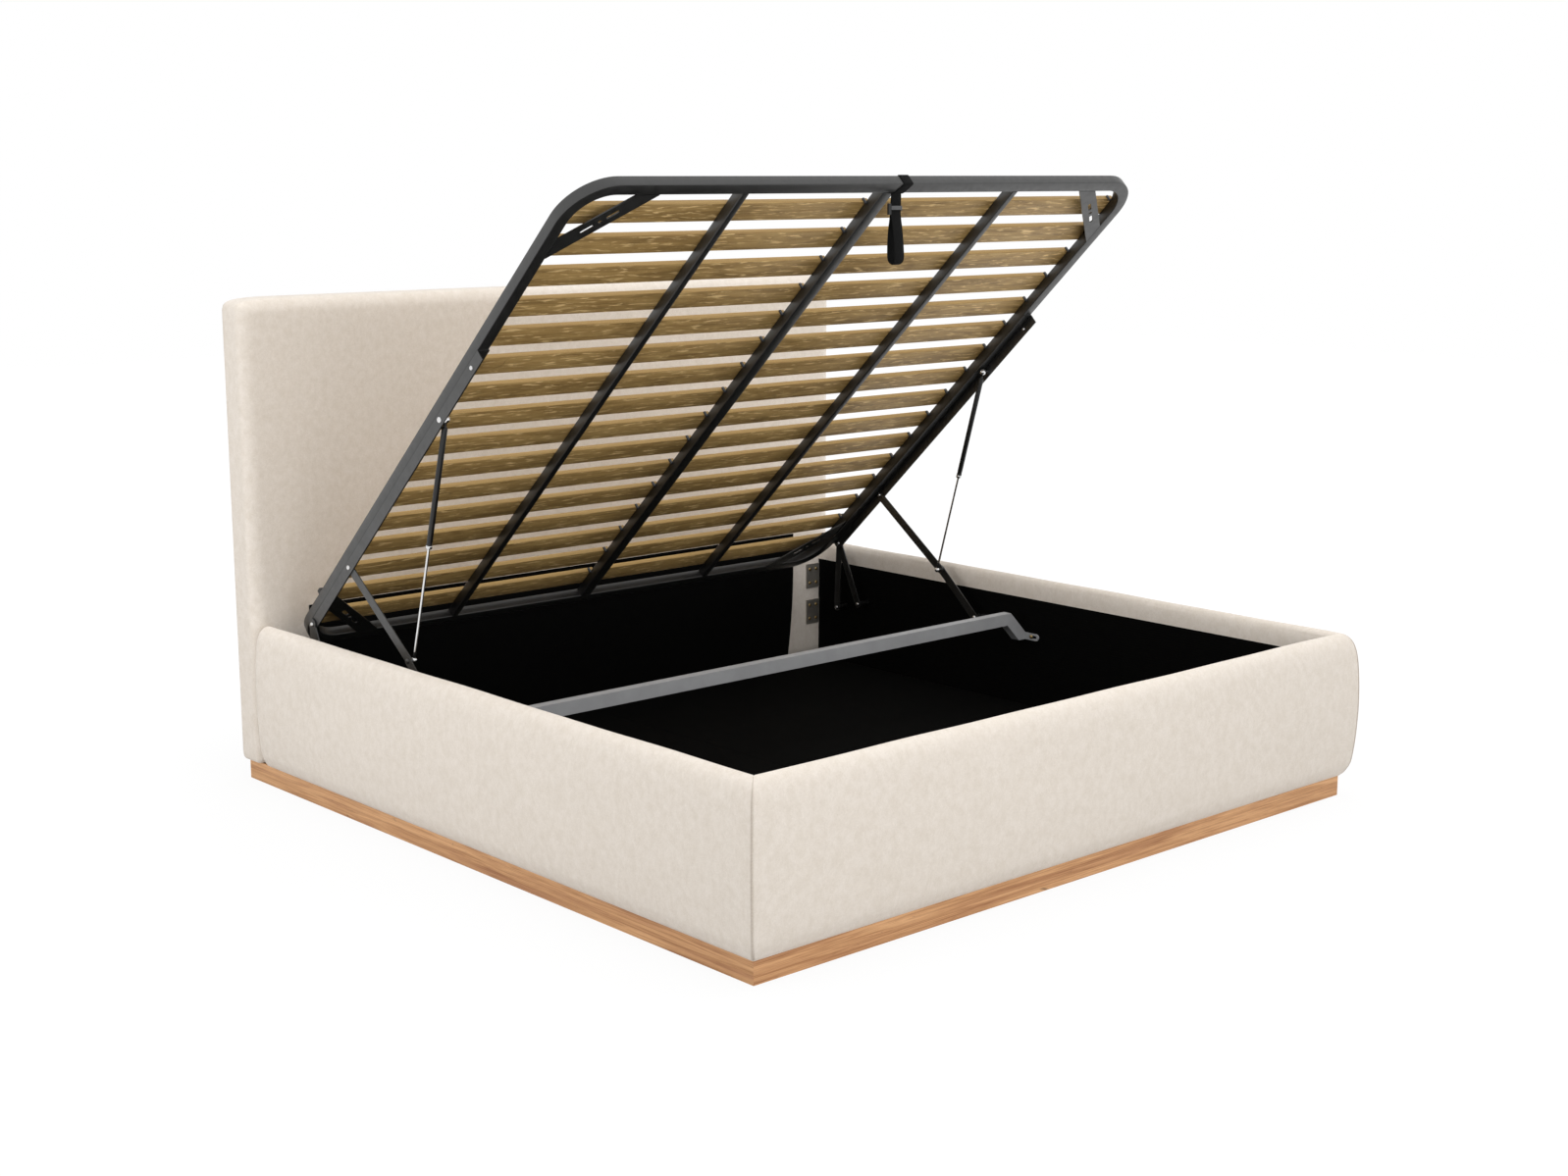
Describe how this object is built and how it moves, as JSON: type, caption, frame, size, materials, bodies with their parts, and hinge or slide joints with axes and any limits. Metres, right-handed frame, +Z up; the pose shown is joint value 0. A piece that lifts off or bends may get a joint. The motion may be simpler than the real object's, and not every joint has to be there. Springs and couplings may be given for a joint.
{
  "type": "gas lift storage bed",
  "caption": "Upholstered storage bed with an oak plinth, shown with its slatted steel lift frame open on gas springs.",
  "frame": {"origin": "Centre of the bed's overall footprint with the frame open, on the floor.", "axes": "X across the bed to its right side seen from the foot, Y from the foot to the headboard, Z up."},
  "size_m": [2.176, 2.188, 1.6594],
  "materials": {
    "oak": "satin lacquered oak",
    "board": "raw plywood",
    "black_lining": "black woven lining",
    "upholstery": "mottled cream weave",
    "frame_steel": "dark grey powder coat",
    "crossbar_steel": "light grey powder coat",
    "slat_wood": "brown stained plywood",
    "zinc": "zinc plated",
    "brass": "yellow passivated",
    "spring_black": "gloss black",
    "chrome": "polished",
    "plastic": "moulded",
    "webbing": "woven strap"
  },
  "bodies": {
    "bed_base": {"plinth_foot": "oak", "plinth_head": "oak", "plinth_left": "oak", "plinth_right": "oak", "floor_joists": "board", "floor_cleats": "board", "rail_board_left": "board", "rail_board_right": "board", "rail_board_foot": "board", "headboard_core": "board", "floor_panel_left": "black_lining", "floor_panel_right": "black_lining", "lining_left": "black_lining", "lining_right": "black_lining", "lining_foot": "black_lining", "lining_head": "black_lining", "rail_pad_left": "upholstery", "rail_pad_right": "upholstery", "rail_pad_foot": "upholstery", "headboard_pad": "upholstery", "corner_plates": "zinc", "bracket_spacers": "zinc", "bracket_bolts": "zinc", "stay_wall_posts": "zinc", "foot_corner_screws": "zinc", "corner_plate_screws": "brass", "crossbar_screws": "brass", "crossbar": "crossbar_steel", "hinge_bracket_left": "frame_steel", "hinge_bracket_right": "frame_steel"},
    "lift_frame": {"frame_bow_foot": "frame_steel", "frame_bow_head": "frame_steel", "middle_bar": "frame_steel", "long_bar_left": "frame_steel", "long_bar_right": "frame_steel", "corner_gussets": "frame_steel", "angle_iron_left": "frame_steel", "angle_iron_right": "frame_steel", "angle_rivets": "zinc", "head_pivot_pins": "zinc", "stay_pivot_pins": "zinc", "gas_ball_studs": "zinc", "slats_left": "slat_wood", "slats_right": "slat_wood", "slat_clips": "plastic", "mattress_pegs": "plastic", "strap_wrap": "webbing"},
    "handle": {"handle_loop": "webbing", "strap_buckle": "plastic"},
    "stay_upper_left": {"stay_upper_left": "frame_steel"},
    "stay_lower_left": {"stay_lower_left": "frame_steel", "knee_rivet_left": "zinc"},
    "gas_cylinder_left": {"gas_cylinder_left": "spring_black"},
    "gas_rod_left": {"gas_rod_left": "chrome"},
    "stay_upper_right": {"stay_upper_right": "frame_steel"},
    "stay_lower_right": {"stay_lower_right": "frame_steel", "knee_rivet_right": "zinc"},
    "gas_cylinder_right": {"gas_cylinder_right": "spring_black"},
    "gas_rod_right": {"gas_rod_right": "chrome"}
  },
  "joints": [
    {"name": "lift_hinge", "type": "hinge", "parent": "bed_base", "child": "lift_frame", "pos_m": [0, 0.831, 0.464], "axis": [1, 0, 0], "range_deg": [0, 43.2], "stiffness_Nm_per_rad": 125, "springref_deg": -113.45},
    {"name": "handle_swing", "type": "hinge", "parent": "lift_frame", "child": "handle", "pos_m": [0.027, -0.37267, 1.6078], "axis": [1, 0, 0], "range_deg": [-60, 30]},
    {"name": "stay_upper_left_hinge", "type": "hinge", "parent": "lift_frame", "child": "stay_upper_left", "pos_m": [-0.9722, 0.63709, 0.64609], "axis": [1, 0, 0], "range_deg": [-24.85, 0]},
    {"name": "stay_lower_left_hinge", "type": "hinge", "parent": "bed_base", "child": "stay_lower_left", "pos_m": [-0.9755, 0.2166, 0.3083], "axis": [1, 0, 0], "range_deg": [-81.53, 0]},
    {"name": "gas_cylinder_left_hinge", "type": "hinge", "parent": "lift_frame", "child": "gas_cylinder_left", "pos_m": [-0.958, 0.18295, 1.07256], "axis": [1, 0, 0], "range_deg": [-2.44, 0]},
    {"name": "gas_rod_left_slide", "type": "slide", "parent": "gas_cylinder_left", "child": "gas_rod_left", "axis": [0, 0.2742, -0.9617], "range_m": [-0.1453, 0]},
    {"name": "stay_upper_right_hinge", "type": "hinge", "parent": "lift_frame", "child": "stay_upper_right", "pos_m": [0.9722, 0.63709, 0.64609], "axis": [1, 0, 0], "range_deg": [-24.85, 0]},
    {"name": "stay_lower_right_hinge", "type": "hinge", "parent": "bed_base", "child": "stay_lower_right", "pos_m": [0.9755, 0.2166, 0.3083], "axis": [1, 0, 0], "range_deg": [-81.53, 0]},
    {"name": "gas_cylinder_right_hinge", "type": "hinge", "parent": "lift_frame", "child": "gas_cylinder_right", "pos_m": [0.958, 0.18295, 1.07256], "axis": [1, 0, 0], "range_deg": [-2.44, 0]},
    {"name": "gas_rod_right_slide", "type": "slide", "parent": "gas_cylinder_right", "child": "gas_rod_right", "axis": [0, 0.2742, -0.9617], "range_m": [-0.1453, 0]}
  ],
  "couplings": [
    {"joint": "stay_upper_left_hinge", "follows": "lift_hinge", "ratio": -0.5752},
    {"joint": "stay_lower_left_hinge", "follows": "lift_hinge", "ratio": -1.8873},
    {"joint": "gas_cylinder_left_hinge", "follows": "lift_hinge", "ratio": -0.056268},
    {"joint": "gas_rod_left_slide", "follows": "lift_hinge", "m_per_rad": -0.19263},
    {"joint": "stay_upper_right_hinge", "follows": "lift_hinge", "ratio": -0.5752},
    {"joint": "stay_lower_right_hinge", "follows": "lift_hinge", "ratio": -1.8873},
    {"joint": "gas_cylinder_right_hinge", "follows": "lift_hinge", "ratio": -0.056268},
    {"joint": "gas_rod_right_slide", "follows": "lift_hinge", "m_per_rad": -0.19263}
  ]
}
